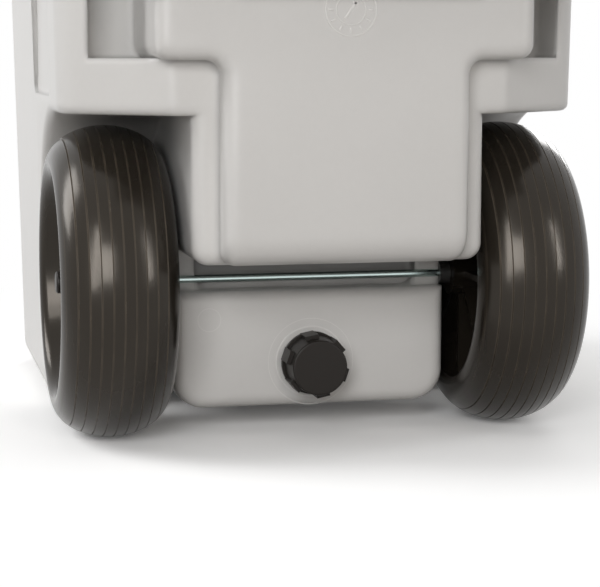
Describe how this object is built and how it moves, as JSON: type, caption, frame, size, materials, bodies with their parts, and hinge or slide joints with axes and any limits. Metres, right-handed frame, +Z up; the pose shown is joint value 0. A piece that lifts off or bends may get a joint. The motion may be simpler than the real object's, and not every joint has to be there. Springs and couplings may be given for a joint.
{
  "type": "wheeled cooler",
  "caption": "Insulated picnic cooler with fat moulded wheels in corner pockets, hinged latched lid, tow and lift handles and a screw-on drain cap.",
  "frame": {"origin": "floor point under the middle of the overall box", "axes": "+X along the axle towards the hinge side, +Y from the wheel end to the tow end, +Z up"},
  "size_m": [0.46, 0.6467, 0.49],
  "materials": {
    "shell": "light grey, fine satin moulding",
    "liner": "white, smooth and food-safe",
    "foam": "pale yellow rigid foam",
    "wheel": "dark brown-black, satin blow moulding",
    "black_plastic": "black, fine satin",
    "grey_plastic": "mid grey, satin",
    "rubber": "black, soft",
    "steel": "bright zinc plated",
    "tube": "drawn tube, satin"
  },
  "bodies": {
    "tub": {"outer_shell": "shell", "inner_liner": "liner", "insulation_foam": "foam", "drain_spout": "grey_plastic", "drain_seal": "rubber", "drain_nut": "black_plastic", "axle_rod": "steel", "axle_spacers": "black_plastic", "axle_washers": "steel", "push_caps": "steel", "front_hinge_body_leaf": "grey_plastic", "rear_hinge_body_leaf": "grey_plastic", "front_hinge_pin": "steel", "rear_hinge_pin": "steel", "hinge_body_screws": "steel", "front_latch_keeper": "black_plastic", "rear_latch_keeper": "black_plastic", "keeper_screws": "steel", "left_tow_bracket": "black_plastic", "right_tow_bracket": "black_plastic", "left_tow_pin": "steel", "right_tow_pin": "steel", "tow_bracket_screws": "steel", "lift_pins": "steel", "left_foot_pad": "black_plastic", "right_foot_pad": "black_plastic", "foot_screws": "steel"},
    "left_wheel": {"left_wheel": "wheel"},
    "right_wheel": {"right_wheel": "wheel"},
    "lid": {"lid_cover": "shell", "lid_pan": "liner", "lid_foam": "foam", "lid_gasket": "rubber", "front_hinge_lid_leaf": "grey_plastic", "rear_hinge_lid_leaf": "grey_plastic", "hinge_lid_screws": "steel", "front_latch_bracket": "black_plastic", "rear_latch_bracket": "black_plastic", "front_latch_pin": "steel", "rear_latch_pin": "steel", "latch_bracket_screws": "steel"},
    "front_latch": {"front_latch": "black_plastic"},
    "rear_latch": {"rear_latch": "black_plastic"},
    "tow_handle": {"tow_bail": "tube", "tow_grip": "rubber"},
    "lift_handle": {"lift_bail": "black_plastic", "lift_grip": "rubber"},
    "drain_cap_seat": {"drain_cap_washer": "rubber"},
    "drain_cap": {"drain_cap": "black_plastic"}
  },
  "joints": [
    {"name": "left_wheel_spin", "type": "hinge", "parent": "tub", "child": "left_wheel", "pos_m": [-0.167, -0.14205, 0.127], "axis": [1, 0, 0], "continuous": true},
    {"name": "right_wheel_spin", "type": "hinge", "parent": "tub", "child": "right_wheel", "pos_m": [0.167, -0.14205, 0.127], "axis": [1, 0, 0], "continuous": true},
    {"name": "lid_hinge", "type": "hinge", "parent": "tub", "child": "lid", "pos_m": [0.2245, 0.0107, 0.441], "axis": [0, 1, 0], "range_deg": [0, 100]},
    {"name": "front_latch_turn", "type": "hinge", "parent": "lid", "child": "front_latch", "pos_m": [-0.2248, -0.1093, 0.462], "axis": [0, 1, 0], "range_deg": [0, 110]},
    {"name": "rear_latch_turn", "type": "hinge", "parent": "lid", "child": "rear_latch", "pos_m": [-0.2248, 0.1307, 0.462], "axis": [0, 1, 0], "range_deg": [0, 110]},
    {"name": "tow_handle_swing", "type": "hinge", "parent": "tub", "child": "tow_handle", "pos_m": [0, 0.31035, 0.345], "axis": [1, 0, 0], "range_deg": [0, 115]},
    {"name": "lift_handle_swing", "type": "hinge", "parent": "tub", "child": "lift_handle", "pos_m": [0, -0.26405, 0.408], "axis": [-1, 0, 0], "range_deg": [0, 95]},
    {"name": "drain_cap_travel", "type": "slide", "parent": "tub", "child": "drain_cap_seat", "axis": [0, -1, 0], "range_m": [0, 0.0121]},
    {"name": "drain_cap_turn", "type": "hinge", "parent": "drain_cap_seat", "child": "drain_cap", "pos_m": [0, -0.185, 0.058], "axis": [0, -1, 0], "range_deg": [0, 1080]}
  ],
  "couplings": [
    {"joint": "drain_cap_travel", "follows": "drain_cap_turn", "m_per_rad": 0.00063662}
  ]
}
